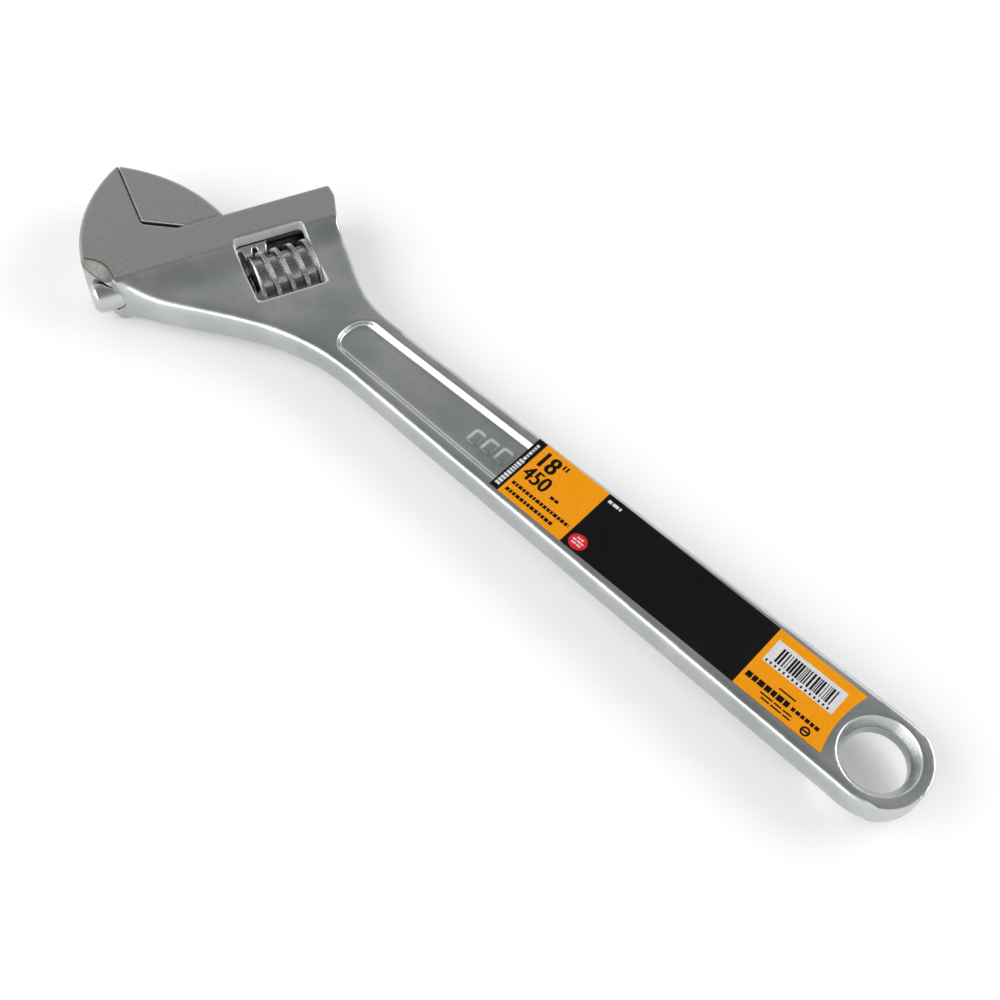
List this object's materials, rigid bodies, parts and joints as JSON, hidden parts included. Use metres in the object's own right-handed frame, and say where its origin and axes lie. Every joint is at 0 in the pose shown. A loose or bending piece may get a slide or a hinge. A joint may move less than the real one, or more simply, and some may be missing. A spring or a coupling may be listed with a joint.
{
  "type": "adjustable wrench",
  "caption": "Large adjustable wrench: forged body with fixed jaw, sliding jaw on a rack moved by a worm knurl, flat recessed handle with a hang hole and a paper size label.",
  "frame": {"origin": "centre of the hang hole at mid thickness", "axes": "+X along the handle from the head to the hang hole, +Z out of the labelled face, +Y to the side the jaws open towards"},
  "size_m": [0.4551, 0.1187, 0.027],
  "materials": {
    "plated_forging": "satin plated, flat faces ground matte",
    "jaw_steel": "ground matte",
    "knurl_steel": "satin, knurled crests",
    "pin_steel": "satin",
    "spring_steel": "satin",
    "label_paper": "printed, slightly glossy",
    "sticker_paper": "printed"
  },
  "bodies": {
    "body": {"body_forging": "plated_forging", "knurl_pin": "pin_steel", "pin_spring": "spring_steel", "label": "label_paper", "sticker": "sticker_paper"},
    "jaw": {"movable_jaw": "jaw_steel"},
    "knurl": {"knurl": "knurl_steel"}
  },
  "joints": [
    {"name": "jaw_slide", "type": "slide", "parent": "body", "child": "jaw", "axis": [0.3827, 0.9239, 0], "range_m": [0, 0.0525]},
    {"name": "knurl_spin", "type": "hinge", "parent": "body", "child": "knurl", "pos_m": [-0.33748, 0.00537, 0], "axis": [-0.3827, -0.9239, 0], "range_deg": [0, 2702]}
  ],
  "couplings": [
    {"joint": "knurl_spin", "follows": "jaw_slide", "rad_per_m": 897.6}
  ]
}
